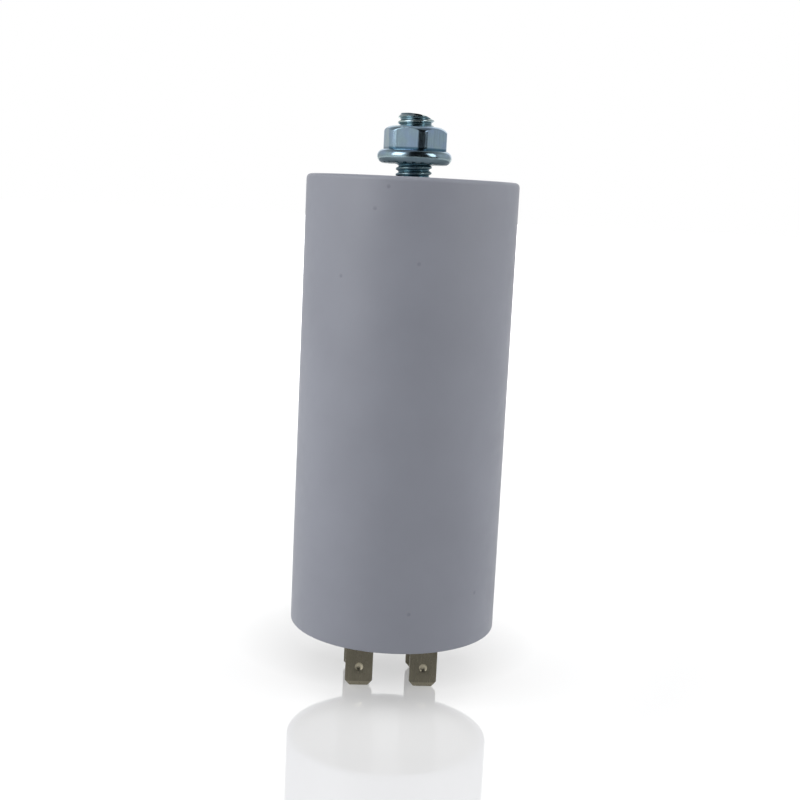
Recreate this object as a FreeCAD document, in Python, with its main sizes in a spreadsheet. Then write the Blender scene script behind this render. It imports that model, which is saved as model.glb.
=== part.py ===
# Motor run capacitor: a moulded cup with a stud at its closed end and four push-on tabs
# at its open end. The origin is the centre of the mounting face at the stud end, +Z points
# out along the stud, and the tabs hang below. Millimetres and degrees throughout.
import FreeCAD, Part
import math
import os
import re
from enum import IntEnum, auto

import Sketcher
from FreeCAD import Vector

document = FreeCAD.newDocument("MotorRunCapacitor")
sheet = document.addObject("Spreadsheet::Sheet", "sizes")

# Driving dimensions: name, value and what it measures
DIMENSIONS = (
    ("can_diameter", 47.0, "outside of the cup"),
    ("can_length", 101.4, "mounting face to the rim of the open end"),
    ("wall_at_rim", 1.6, "cup wall at the open end"),
    ("wall_at_floor", 2.0, "cup wall at the stud end, thicker by the mould's draft"),
    ("floor_thickness", 2.6, "plastic between the mounting face and the stud's head"),
    ("can_edge_radius", 1.0, "outer edge round the mounting face"),
    ("cavity_edge_radius", 2.0, "inner corner between floor and wall"),
    ("rim_edge_radius", 0.35, "edges of the open rim"),
    ("boss_wall", 2.6, "plastic round the corners of the stud's head"),
    ("boss_cover", 1.5, "plastic below the stud's head"),
    ("rib_count", 8, "ribs between boss and wall"),
    ("rib_thickness", 1.5, "thickness of one rib"),
    ("lead_room", 5.2, "height of the ribs below the boss, where the upper lead crosses"),
    ("stud_diameter", 8.0, "thread of the stud over its crests"),
    ("thread_pitch", 1.25, "pitch of the stud and the nut"),
    ("stud_reach", 13.9, "mounting face to the end of the stud"),
    ("stud_head_flats", 13.0, "across the flats of the stud's head"),
    ("stud_head_height", 5.3, "height of the stud's head"),
    ("nut_flats", 13.0, "across the flats of the nut"),
    ("nut_height", 8.1, "flange face to the top of the nut"),
    ("nut_gap", 3.05, "mounting face to the flange, with the nut run half way on"),
    ("nut_angle", 39.8, "turn of the nut about the stud, from +X to one of its corners"),
    ("nut_corner_radius", 2.4, "rounding of the nut's six corners"),
    ("nut_crown_diameter", 9.8, "flat top of the nut inside its domed crown"),
    ("nut_crown_radius", 2.6, "rounding of the crown, from the flat top to past the corners"),
    ("flange_diameter", 16.45, "over the round rim of the flange"),
    ("flange_height", 3.0, "height of the flange, whose rim is a full round"),
    ("flange_land", 0.1, "straight band left in the middle of that rim"),
    ("thread_clearance", 0.05, "between the stud and the plain bore of the nut"),
    ("serration_count", 24, "shallow teeth under the flange"),
    ("serration_depth", 0.3, "depth of the gaps between those teeth"),
    ("serration_width", 0.7, "width of the gaps between those teeth"),
    ("serration_start", 5.4, "radius where the teeth begin"),
    ("potting_gap", 1.3, "resin between the winding's wrap and the cup's thick end"),
    ("wrap_thickness", 0.4, "closing turns of plain film round the winding"),
    ("core_diameter", 9.0, "plastic tube that the winding is wound on"),
    ("core_wall", 1.0, "wall of that tube"),
    ("spray_thickness", 0.7, "sprayed metal on each end of the winding"),
    ("spray_inset", 0.4, "bare film left round each sprayed end"),
    ("winding_depth", 13.2, "rim to the winding's lower end"),
    ("resin_recess", 1.6, "rim to the resin's surface"),
    ("meniscus_height", 0.9, "climb of the resin at the wall"),
    ("meniscus_width", 1.8, "width of that climb"),
    ("wire_diameter", 1.0, "conductor of a lead"),
    ("sleeve_diameter", 1.9, "insulation of a lead"),
    ("lead_bend_radius", 1.5, "centre line of a lead at its bends"),
    ("joint_diameter", 3.4, "foot of a solder joint"),
    ("joint_height", 1.1, "height of a solder joint"),
    ("upper_lead_rise", 3.2, "sprayed end to the level where the upper lead crosses"),
    ("web_depth", 7.8, "rim to the upper face of a terminal's web"),
    ("terminal_spacing", 14.8, "between the centres of the two terminals"),
    ("tab_thickness", 0.8, "sheet of the terminals"),
    ("tab_width", 6.3, "push-on tab"),
    ("tab_length", 9.2, "tip to the shoulders that stop the receptacle"),
    ("tab_reach", 14.2, "rim to the tips of the tabs"),
    ("tab_pair_spacing", 11.5, "between the middle planes of a terminal's two tabs"),
    ("shank_width", 7.8, "strip above the shoulders"),
    ("strip_bend_radius", 0.8, "inside of the terminal's folds"),
    ("tip_corner_width", 1.05, "cut corner of a tab, across"),
    ("tip_corner_height", 1.25, "cut corner of a tab, along"),
    ("tip_bevel_length", 0.8, "coined bevel at the tip, along"),
    ("tip_bevel_depth", 0.22, "coined bevel at the tip, into each face"),
    ("detent_diameter", 1.9, "round dimple that the receptacle snaps into"),
    ("detent_depth", 0.35, "depth of that dimple"),
    ("detent_from_tip", 4.45, "tip to the middle of the dimple"),
)

for row, (name, value, meaning) in enumerate(DIMENSIONS, start=1):
    sheet.set("A%d" % row, name)
    sheet.set("B%d" % row, str(value))
    sheet.set("C%d" % row, meaning)
    sheet.setAlias("B%d" % row, name)
document.recompute()


# Places that several pieces share, each worked out from the driving dimensions
PLACES = {
    "CAN_RADIUS": "can_diameter / 2",
    "RIM_BORE": "CAN_RADIUS - wall_at_rim",
    "FLOOR_BORE": "CAN_RADIUS - wall_at_floor",
    "RIM": "-can_length",
    "FLOOR": "-floor_thickness",
    "FLOOR_MIDDLE": "FLOOR / 2",
    "HEAD_CORNER": "stud_head_flats / 2 / cos(30)",
    "HEAD_END": "FLOOR - stud_head_height",
    "BOSS_RADIUS": "HEAD_CORNER + boss_wall",
    "BOSS_END": "HEAD_END - boss_cover",
    "RIB_START": "BOSS_RADIUS - boss_wall / 4",
    "RIB_SIDE": "rib_thickness / 2",
    "SEAT": "BOSS_END - lead_room",
    "STUD_RADIUS": "stud_diameter / 2",
    "THREAD_DEPTH": "0.6134 * thread_pitch",
    "NUT_TOP": "nut_gap + nut_height",
    "NUT_BORE": "STUD_RADIUS + thread_clearance",
    "NUT_MOUTH": "NUT_BORE + thread_pitch / 4",
    "NUT_CORNER": "nut_flats / 2 / cos(30)",
    "FLANGE_RADIUS": "flange_diameter / 2",
    "FLANGE_TOP": "nut_gap + flange_height",
    "TOOTH_SIDE": "serration_width / 2",
    "WRAP_RADIUS": "FLOOR_BORE - potting_gap",
    "FILM_RADIUS": "WRAP_RADIUS - wrap_thickness",
    "SPRAY_RADIUS": "FILM_RADIUS - spray_inset",
    "CORE_RADIUS": "core_diameter / 2",
    "WINDING_END": "RIM + winding_depth",
    "RESIN_LEVEL": "RIM + resin_recess",
    "MENISCUS_TOP": "RESIN_LEVEL - meniscus_height",
    "TERMINAL_PLACE": "terminal_spacing / 2",
    "WEB_TOP": "RIM + web_depth",
    "UPPER_JOINT": "( CORE_RADIUS + RIB_START ) / 2",
    "LOWER_JOINT": "( TERMINAL_PLACE + SPRAY_RADIUS ) / 2",
    "UPPER_CROSSING": "SEAT + upper_lead_rise",
    "LOWER_CROSSING": "( WINDING_END + WEB_TOP ) / 2",
    "TIP": "RIM - tab_reach",
    "LEG_OUTER": "( tab_pair_spacing + tab_thickness ) / 2",
    "LEG_INNER": "( tab_pair_spacing - tab_thickness ) / 2",
}


def size(text):
    """An expression on the sheet, from words such as 'FLOOR - stud_head_height'."""
    while re.search("[A-Z]", text):
        text = re.sub("[A-Z_]{2,}", lambda place: "(" + PLACES[place.group()] + ")", text)
    return re.sub(r"\b[a-z]+(_[a-z]+)+\b", r"sizes.\g<0>", text)


def number(text):
    """What an expression gives with the sheet as it stands."""
    return float(sheet.evalExpression(size(text)))


def new_body(name):
    body = document.addObject("PartDesign::Body", name)
    body.Label = name
    return body


def new_sketch(body, plane, name, offset=None):
    """A sketch on one of the body's origin planes, lifted off it by an expression."""
    sketch = body.newObject("Sketcher::SketchObject", name)
    role = next(feature for feature in body.Origin.OriginFeatures if feature.Role == plane)
    sketch.AttachmentSupport = [(role, "")]
    sketch.MapMode = "FlatFace"
    if offset:
        sketch.setExpression("AttachmentOffset.Base.z", size(offset))
    return sketch


class Axis(IntEnum):
    """The axes of a sketch, as its constraints count them."""

    X = -1
    Y = -2


class Spot(IntEnum):
    """The points of a curve, as constraints count them."""

    START = auto()
    END = auto()
    CENTRE = auto()


def pin(sketch, curve, end, place):
    """Hold one point of a curve at a place given as two expressions."""
    axes = (("DistanceX", Axis.Y), ("DistanceY", Axis.X))
    for text, (kind, axis) in zip(place, axes):
        if text == "0":
            sketch.addConstraint(Sketcher.Constraint("PointOnObject", curve, end, axis))
            continue
        constraint = Sketcher.Constraint(kind, Axis.X, Spot.START, curve, end, number(text))
        index = sketch.addConstraint(constraint)
        sketch.setExpression("Constraints[%d]" % index, size(text))


def point(place):
    return Vector(number(place[0]), number(place[1]), 0)


def toward(corner, other, radius):
    """The tangent point on a level or upright run from a corner, as expressions."""
    here = point(corner)
    there = point(other)
    along = 0 if abs(there.x - here.x) > abs(there.y - here.y) else 1
    sign = "+" if there[along] > here[along] else "-"
    place = list(corner[:2])
    start = "" if place[along] == "0" else place[along]
    place[along] = start + sign + "(" + radius + ")"
    return tuple(place)


def draw(sketch, corners, closed=True):
    """Straight runs through the corners, with an arc at each corner that has a radius."""
    count = len(corners)
    ends = []
    for index, corner in enumerate(corners):
        inner = closed or 0 < index < count - 1
        if len(corner) == 3 and inner:
            before = toward(corner, corners[index - 1], corner[2])
            after = toward(corner, corners[(index + 1) % count], corner[2])
            ends.append((before, after))
        else:
            ends.append((corner[:2], corner[:2]))
    runs = count if closed else count - 1
    lines = []
    for index in range(runs):
        start = point(ends[index][1])
        stop = point(ends[(index + 1) % count][0])
        lines.append(sketch.addGeometry(Part.LineSegment(start, stop), False))
    for index, (before, after) in enumerate(ends):
        leads = lines[index - 1] if closed or index > 0 else None
        follows = lines[index] if index < runs else None
        if before != after:
            add_bend(sketch, corners[index], before, after, leads, follows)
        elif follows is None:
            pin(sketch, leads, Spot.END, before)
        else:
            pin(sketch, follows, Spot.START, before)
            if leads is not None:
                join(sketch, leads, Spot.END, follows, Spot.START)


def join(sketch, first, first_end, second, second_end):
    sketch.addConstraint(Sketcher.Constraint("Coincident", first, first_end, second, second_end))


def add_bend(sketch, corner, before, after, leads, follows):
    """A quarter round between two runs at right angles."""
    pin(sketch, leads, Spot.END, before)
    pin(sketch, follows, Spot.START, after)
    first = point(before)
    last = point(after)
    middle = first + last - point(corner)
    radius = number(corner[2])
    start = math.atan2(first.y - middle.y, first.x - middle.x)
    stop = math.atan2(last.y - middle.y, last.x - middle.x)
    clockwise = (stop - start) % (2 * math.pi) > math.pi
    circle = Part.Circle(middle, Vector(0, 0, 1), radius)
    angles = (stop, start) if clockwise else (start, stop)
    arc = sketch.addGeometry(Part.ArcOfCircle(circle, *angles), False)
    join(sketch, leads, Spot.END, arc, Spot.END if clockwise else Spot.START)
    join(sketch, follows, Spot.START, arc, Spot.START if clockwise else Spot.END)
    set_radius(sketch, arc, corner[2])


def set_radius(sketch, curve, radius):
    index = sketch.addConstraint(Sketcher.Constraint("Radius", curve, number(radius)))
    sketch.setExpression("Constraints[%d]" % index, size(radius))


def add_circle(sketch, centre, radius):
    """A circle at a place given as two expressions, its radius a third."""
    circle = Part.Circle(point(centre), Vector(0, 0, 1), number(radius))
    curve = sketch.addGeometry(circle, False)
    pin(sketch, curve, Spot.CENTRE, centre)
    set_radius(sketch, curve, radius)


def add_feature(body, kind, name, profile=None):
    feature = body.newObject("PartDesign::" + kind, name)
    if profile:
        feature.Profile = profile
        profile.Visibility = False
    return feature


def turn(body, name, corners, kind="Revolution"):
    """Turn a closed outline of radius and height about the body's Z axis."""
    sketch = new_sketch(body, "XZ_Plane", name + "_profile")
    draw(sketch, corners)
    feature = add_feature(body, kind, name, sketch)
    feature.ReferenceAxis = (sketch, ["V_Axis"])
    feature.Angle = 360
    document.recompute()
    return feature


def edges_at(feature, test):
    """Names of the feature's edges that pass a test."""
    edges = feature.Shape.Edges
    return ["Edge%d" % index for index, edge in enumerate(edges, start=1) if test(edge)]


def same(first, second):
    return math.isclose(first, second, abs_tol=1e-4)


def is_circle(radius, height):
    """A test for full circles of one radius at one height."""
    wanted_radius = number(radius)
    wanted_height = number(height)

    def test(edge):
        if not isinstance(edge.Curve, Part.Circle):
            return False
        same_height = same(edge.Curve.Center.z, wanted_height)
        return same_height and same(edge.Curve.Radius, wanted_radius)

    return test


def fillet(body, name, base, edges, radius):
    """Round the named edges of a feature."""
    feature = body.newObject("PartDesign::Fillet", name)
    feature.Base = (base, edges)
    feature.setExpression("Radius", size(radius))
    document.recompute()
    return feature


def repeat_round(body, name, original, count):
    """A polar pattern about the body's Z axis."""
    pattern = body.newObject("PartDesign::PolarPattern", name)
    pattern.Originals = [original]
    axis = next(item for item in body.Origin.OriginFeatures if item.Role == "Z_Axis")
    pattern.Axis = (axis, [""])
    pattern.Angle = 360
    pattern.setExpression("Occurrences", size(count))
    body.Tip = pattern
    document.recompute()


def add_hexagon(sketch, corner):
    """Six equal sides about the origin, with two corners on the sketch's X axis."""
    radius = number(corner)
    angles = [math.radians(60 * side) for side in range(6)]
    corners = [Vector(radius * math.cos(a), radius * math.sin(a), 0) for a in angles]
    guide = sketch.addGeometry(Part.Circle(Vector(), Vector(0, 0, 1), radius), True)
    join(sketch, guide, Spot.CENTRE, Axis.X, Spot.START)
    sides = [
        sketch.addGeometry(Part.LineSegment(corners[side], corners[(side + 1) % 6]), False)
        for side in range(6)
    ]
    for side in range(6):
        join(sketch, sides[side], Spot.END, sides[(side + 1) % 6], Spot.START)
        sketch.addConstraint(Sketcher.Constraint("PointOnObject", sides[side], Spot.START, guide))
    for side in range(5):
        sketch.addConstraint(Sketcher.Constraint("Equal", sides[side], sides[side + 1]))
    sketch.addConstraint(Sketcher.Constraint("PointOnObject", sides[0], Spot.START, Axis.X))
    set_radius(sketch, guide, corner)


def make_cup():
    """The moulded cup: boss and ribs inside its floor, and the stud's bed left open."""
    body = new_body("housing_can")
    shell = turn(body, "shell", [
        ("0", "0"),
        ("CAN_RADIUS", "0"),
        ("CAN_RADIUS", "RIM"),
        ("RIM_BORE", "RIM"),
        ("FLOOR_BORE", "FLOOR"),
        ("0", "FLOOR"),
    ])
    floor_corner = edges_at(shell, is_circle("FLOOR_BORE", "FLOOR"))
    shell = fillet(body, "cavity_corner", shell, floor_corner, "cavity_edge_radius")
    outer_corner = edges_at(shell, is_circle("CAN_RADIUS", "0"))
    shell = fillet(body, "face_edge", shell, outer_corner, "can_edge_radius")
    inner_rim = is_circle("RIM_BORE", "RIM")
    outer_rim = is_circle("CAN_RADIUS", "RIM")
    rims = edges_at(shell, lambda edge: inner_rim(edge) or outer_rim(edge))
    fillet(body, "rim_edges", shell, rims, "rim_edge_radius")
    turn(body, "boss", [
        ("0", "FLOOR_MIDDLE"),
        ("BOSS_RADIUS", "FLOOR_MIDDLE"),
        ("BOSS_RADIUS", "BOSS_END"),
        ("0", "BOSS_END"),
    ])
    rib_sketch = new_sketch(body, "XY_Plane", "rib_plan", "FLOOR")
    middle_of_wall = "FLOOR_BORE + wall_at_floor / 2"
    draw(rib_sketch, [
        ("RIB_START", "-RIB_SIDE"),
        (middle_of_wall, "-RIB_SIDE"),
        (middle_of_wall, "RIB_SIDE"),
        ("RIB_START", "RIB_SIDE"),
    ])
    rib = add_feature(body, "Pad", "rib", rib_sketch)
    rib.Reversed = True
    rib.setExpression("Length", size("FLOOR - SEAT"))
    document.recompute()
    repeat_round(body, "ribs", rib, "rib_count")
    turn(body, "stud_hole", [
        ("0", "0"),
        ("STUD_RADIUS", "0"),
        ("STUD_RADIUS", "FLOOR"),
        ("0", "FLOOR"),
    ], "Groove")
    bed_sketch = new_sketch(body, "XY_Plane", "head_bed_plan", "FLOOR")
    add_hexagon(bed_sketch, "HEAD_CORNER")
    bed = add_feature(body, "Pocket", "head_bed", bed_sketch)
    bed.setExpression("Length", size("stud_head_height"))
    document.recompute()


def make_stud():
    """The hexagon-head screw that the cup is moulded round, its thread outside."""
    body = new_body("mounting_stud")
    head_sketch = new_sketch(body, "XY_Plane", "head_plan", "FLOOR")
    add_hexagon(head_sketch, "HEAD_CORNER")
    head = add_feature(body, "Pad", "head", head_sketch)
    head.Reversed = True
    head.setExpression("Length", size("stud_head_height"))
    document.recompute()
    middle_of_head = "FLOOR - stud_head_height / 2"
    turn(body, "shank", [
        ("0", middle_of_head),
        ("STUD_RADIUS", middle_of_head),
        ("STUD_RADIUS", "stud_reach - THREAD_DEPTH"),
        ("STUD_RADIUS - THREAD_DEPTH", "stud_reach"),
        ("0", "stud_reach"),
    ])


def make_nut():
    """The flange nut: rounded hexagon, domed crown, round-rimmed flange with teeth."""
    body = new_body("flange_nut")
    hexagon = new_sketch(body, "XY_Plane", "hexagon_plan", "nut_gap + flange_height / 2")
    add_hexagon(hexagon, "NUT_CORNER")
    block = add_feature(body, "Pad", "hexagon", hexagon)
    block.setExpression("Length", size("nut_height - flange_height / 2"))
    document.recompute()

    def upright(edge):
        first, last = [vertex.Point for vertex in edge.Vertexes]
        return same(first.x, last.x) and same(first.y, last.y)

    fillet(body, "hexagon_corners", block, edges_at(block, upright), "nut_corner_radius")
    crown_side = "nut_crown_diameter / 2 + nut_crown_radius"
    outside = "NUT_CORNER + nut_crown_radius"
    above = "NUT_TOP + nut_crown_radius"
    turn(body, "crown", [
        ("STUD_RADIUS", "NUT_TOP"),
        (crown_side, "NUT_TOP", "nut_crown_radius"),
        (crown_side, "nut_gap"),
        (outside + "+" + crown_side, "nut_gap"),
        (outside + "+" + crown_side, above),
        ("STUD_RADIUS", above),
    ], "Groove")
    rim = "( flange_height - flange_land ) / 2"
    turn(body, "flange", [
        ("0", "nut_gap"),
        ("FLANGE_RADIUS", "nut_gap", rim),
        ("FLANGE_RADIUS", "FLANGE_TOP", rim),
        ("0", "FLANGE_TOP"),
    ])
    turn(body, "bore", [
        ("0", "nut_gap"),
        ("NUT_MOUTH", "nut_gap"),
        ("NUT_BORE", "nut_gap + thread_pitch / 4"),
        ("NUT_BORE", "NUT_TOP - thread_pitch / 4"),
        ("NUT_MOUTH", "NUT_TOP"),
        ("0", "NUT_TOP"),
    ], "Groove")
    gap_sketch = new_sketch(body, "XY_Plane", "tooth_gap_plan", "nut_gap")
    draw(gap_sketch, [
        ("serration_start", "-TOOTH_SIDE"),
        ("FLANGE_RADIUS", "-TOOTH_SIDE"),
        ("FLANGE_RADIUS", "TOOTH_SIDE"),
        ("serration_start", "TOOTH_SIDE"),
    ])
    gap = add_feature(body, "Pocket", "tooth_gap", gap_sketch)
    gap.Reversed = True
    gap.setExpression("Length", size("serration_depth"))
    document.recompute()
    repeat_round(body, "teeth", gap, "serration_count")
    body.setExpression("Placement.Rotation.Angle", size("nut_angle"))
    document.recompute()


def make_winding():
    """The wound film, its core tube, its closing wrap and its two sprayed ends."""
    top_of_film = "SEAT - spray_thickness"
    end_of_film = "WINDING_END + spray_thickness"
    rings = {
        "film_winding": ("CORE_RADIUS", "FILM_RADIUS", top_of_film, end_of_film),
        "winding_core": ("CORE_RADIUS - core_wall", "CORE_RADIUS", "SEAT", "WINDING_END"),
        "winding_wrap": ("FILM_RADIUS", "WRAP_RADIUS", "SEAT", "WINDING_END"),
        "end_spray_upper": ("CORE_RADIUS", "SPRAY_RADIUS", "SEAT", top_of_film),
        "end_spray_lower": ("CORE_RADIUS", "SPRAY_RADIUS", end_of_film, "WINDING_END"),
    }
    for name, (inner, outer, upper, lower) in rings.items():
        body = new_body(name)
        turn(body, name + "_ring", [
            (inner, upper),
            (outer, upper),
            (outer, lower),
            (inner, lower),
        ])


def make_pipe(name, route, radius, bore=None):
    """A round wire or sleeve along a route in the plane of the two terminals."""
    body = new_body(name)
    spine = new_sketch(body, "XZ_Plane", name + "_route")
    draw(spine, route, closed=False)
    across, level = route[0]
    section = new_sketch(body, "XY_Plane", name + "_section", level)
    add_circle(section, (across, "0"), radius)
    if bore:
        add_circle(section, (across, "0"), bore)
    document.recompute()
    pipe = add_feature(body, "AdditivePipe", name + "_pipe", section)
    pipe.Spine = spine
    spine.Visibility = False
    document.recompute()


def make_leads():
    """Two leads: one from the upper end down through the core, one from the lower end."""
    bend = "lead_bend_radius"
    corners_upper = [
        ("UPPER_JOINT", "UPPER_CROSSING", bend),
        ("0", "UPPER_CROSSING", bend),
        ("0", "LOWER_CROSSING", bend),
        ("TERMINAL_PLACE", "LOWER_CROSSING", bend),
    ]
    corners_lower = [
        ("-LOWER_JOINT", "LOWER_CROSSING", bend),
        ("-TERMINAL_PLACE", "LOWER_CROSSING", bend),
    ]
    leads = {
        "upper": ("UPPER_JOINT", "SEAT", "+", corners_upper, "TERMINAL_PLACE"),
        "lower": ("-LOWER_JOINT", "WINDING_END", "-", corners_lower, "-TERMINAL_PLACE"),
    }
    for level, (spot, face, side, corners, web) in leads.items():
        past_joint = (spot, face + side + "joint_height")
        past_web = (web, "WEB_TOP + joint_height")
        bare = [(spot, face)] + corners + [(web, "WEB_TOP")]
        covered = [past_joint] + corners + [past_web]
        make_pipe("lead_" + level, bare, "wire_diameter / 2")
        make_pipe("lead_sleeve_" + level, covered, "sleeve_diameter / 2", "wire_diameter / 2")
        make_joint("spray_joint_" + level, spot, face, side)
        make_joint("web_joint_" + level, web, "WEB_TOP", "+")


def make_joint(name, across, face, side):
    """A solder cone round the bare end of a lead, standing on the face it joins."""
    body = new_body(name)
    peak = side + "joint_height"
    turn(body, name + "_cone", [
        ("wire_diameter / 2", "0"),
        ("joint_diameter / 2", "0"),
        ("joint_diameter / 3", peak + " / 3"),
        ("sleeve_diameter / 2", peak),
        ("wire_diameter / 2", peak),
    ])
    body.setExpression("Placement.Base.x", size(across))
    body.setExpression("Placement.Base.z", size(face))
    document.recompute()


def make_terminal(name, across):
    """One strip folded into a U: its web lies in the resin, its two legs end as tabs."""
    body = new_body(name)
    fold = new_sketch(body, "YZ_Plane", "fold_profile")
    outer_bend = "strip_bend_radius + tab_thickness"
    web_under = "WEB_TOP - tab_thickness"
    bevel_start = "TIP + tip_bevel_length"
    draw(fold, [
        ("-LEG_OUTER", "WEB_TOP", outer_bend),
        ("LEG_OUTER", "WEB_TOP", outer_bend),
        ("LEG_OUTER", bevel_start),
        ("LEG_OUTER - tip_bevel_depth", "TIP"),
        ("LEG_INNER + tip_bevel_depth", "TIP"),
        ("LEG_INNER", bevel_start),
        ("LEG_INNER", web_under, "strip_bend_radius"),
        ("-LEG_INNER", web_under, "strip_bend_radius"),
        ("-LEG_INNER", bevel_start),
        ("-LEG_INNER - tip_bevel_depth", "TIP"),
        ("-LEG_OUTER + tip_bevel_depth", "TIP"),
        ("-LEG_OUTER", bevel_start),
    ])
    strip = add_feature(body, "Pad", "folded_strip", fold)
    strip.Midplane = True
    strip.setExpression("Length", size("shank_width"))
    document.recompute()
    trim_sketch = new_sketch(body, "XZ_Plane", "tab_outline")
    clear = "TIP - tab_thickness"
    for side in ("+", "-"):
        edge = side + "tab_width / 2"
        outside = side + "shank_width"
        corner = side + "( tab_width / 2 - tip_corner_width )"
        draw(trim_sketch, [
            (outside, "TIP + tab_length"),
            (edge, "TIP + tab_length"),
            (edge, "TIP + tip_corner_height"),
            (corner, "TIP"),
            (corner, clear),
            (outside, clear),
        ])
    trim = add_feature(body, "Pocket", "tab_trim", trim_sketch)
    trim.Midplane = True
    trim.setExpression("Length", size("2 * tab_pair_spacing"))
    document.recompute()
    add_detents(body)
    body.setExpression("Placement.Base.x", size(across))
    document.recompute()


def add_detents(body):
    """A round dimple in the outer face of each leg, cut as a spherical cap."""
    ball = "( detent_diameter ^ 2 / 8 / detent_depth + detent_depth / 2 )"
    for label, side in (("near", "-"), ("far", "+")):
        dimple = body.newObject("PartDesign::SubtractiveSphere", "detent_" + label)
        dimple.setExpression("Radius", size(ball))
        plane = next(item for item in body.Origin.OriginFeatures if item.Role == "XY_Plane")
        dimple.AttachmentSupport = [(plane, "")]
        dimple.MapMode = "FlatFace"
        across = side + "( LEG_OUTER - detent_depth + " + ball + " )"
        dimple.setExpression("AttachmentOffset.Base.y", size(across))
        dimple.setExpression("AttachmentOffset.Base.z", size("TIP + detent_from_tip"))
        document.recompute()


def make_resin(contents):
    """Resin that fills the cup round everything in it, with a meniscus at the wall."""
    fill = new_body("resin_fill")
    middle_of_wall = "CAN_RADIUS - wall_at_rim / 2"
    turn(fill, "fill", [
        ("0", "FLOOR_MIDDLE"),
        (middle_of_wall, "FLOOR_MIDDLE"),
        (middle_of_wall, "MENISCUS_TOP"),
        ("RIM_BORE", "MENISCUS_TOP"),
        ("RIM_BORE - meniscus_width / 3", "RESIN_LEVEL - meniscus_height / 3"),
        ("RIM_BORE - meniscus_width", "RESIN_LEVEL"),
        ("0", "RESIN_LEVEL"),
    ])
    held = document.addObject("Part::Compound", "resin_contents")
    held.Links = contents
    resin = document.addObject("Part::Cut", "potting_resin")
    resin.Label = "potting_resin"
    resin.Base = fill
    resin.Tool = held
    document.recompute()
    return resin


make_cup()
make_stud()
make_nut()
make_winding()
make_leads()
make_terminal("terminal_left", "-TERMINAL_PLACE")
make_terminal("terminal_right", "TERMINAL_PLACE")

bodies = [item for item in document.Objects if item.TypeId == "PartDesign::Body"]
sub_parts = list(bodies)
sub_parts.append(make_resin([body for body in bodies if body.Label != "flange_nut"]))
document.recompute()

for item in document.Objects:
    if "Invalid" in item.State or "Error" in item.State:
        raise RuntimeError("failed to build: " + item.Label)
for item in sub_parts:
    if item.Shape.isNull() or not item.Shape.isValid():
        raise RuntimeError("bad shape: " + item.Label)
    if len(item.Shape.Solids) != 1:
        raise RuntimeError("not one solid: " + item.Label)

os.makedirs("parts", exist_ok=True)
for item in sub_parts:
    item.Shape.exportStep("parts/" + item.Label + ".step")
    print("%-20s %10.2f mm3" % (item.Label, item.Shape.Volume))
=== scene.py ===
import math

import bmesh
import bpy
from bpy.props import FloatProperty, FloatVectorProperty, IntProperty, PointerProperty
from mathutils import Matrix, Vector


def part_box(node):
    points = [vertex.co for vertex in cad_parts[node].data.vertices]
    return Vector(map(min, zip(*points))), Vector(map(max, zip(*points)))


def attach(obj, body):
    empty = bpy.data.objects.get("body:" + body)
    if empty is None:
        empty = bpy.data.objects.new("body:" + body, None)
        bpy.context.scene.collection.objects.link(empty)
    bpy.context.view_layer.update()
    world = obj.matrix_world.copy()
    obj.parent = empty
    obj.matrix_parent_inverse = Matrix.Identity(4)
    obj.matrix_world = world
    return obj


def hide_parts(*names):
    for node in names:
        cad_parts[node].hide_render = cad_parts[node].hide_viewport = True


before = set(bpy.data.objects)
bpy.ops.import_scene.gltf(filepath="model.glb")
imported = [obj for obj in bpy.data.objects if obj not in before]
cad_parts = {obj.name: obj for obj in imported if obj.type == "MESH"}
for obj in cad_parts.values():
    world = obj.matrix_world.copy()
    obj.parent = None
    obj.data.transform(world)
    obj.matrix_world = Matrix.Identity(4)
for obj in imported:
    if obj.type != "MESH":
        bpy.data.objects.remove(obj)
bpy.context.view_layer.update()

bl_info = {
    "name": "Motor Run Capacitor",
    "version": (1, 0, 0),
    "blender": (4, 5, 0),
    "location": "View3D > Sidebar > Capacitor",
    "description": "Dresses the solids of a motor run capacitor with finished shapes and materials",
    "category": "Object",
}

MM = 0.001
TINY = 0.001 * MM
NEAR = 0.01 * MM
ON_PLANE = 0.0005 * MM
TURN = 2 * math.pi
CORNER_TO_FLAT = TURN / 12
BODY = "root"

can_low, can_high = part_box("housing_can")
stud_low, stud_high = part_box("mounting_stud")
nut_low, nut_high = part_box("flange_nut")
tabs_low, tabs_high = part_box("terminal_left")


# Settings


def length(name, description, default):
    return FloatProperty(name=name, description=description, default=default, unit="LENGTH",
                         precision=5)


def angle(name, description, degrees):
    return FloatProperty(name=name, description=description, default=math.radians(degrees),
                         subtype="ANGLE")


def colour(name, description, default):
    return FloatVectorProperty(name=name, description=description, default=default, size=3,
                               min=0, max=1, subtype="COLOR")


def strength(name, description, default):
    return FloatProperty(name=name, description=description, default=default, min=0)


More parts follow.
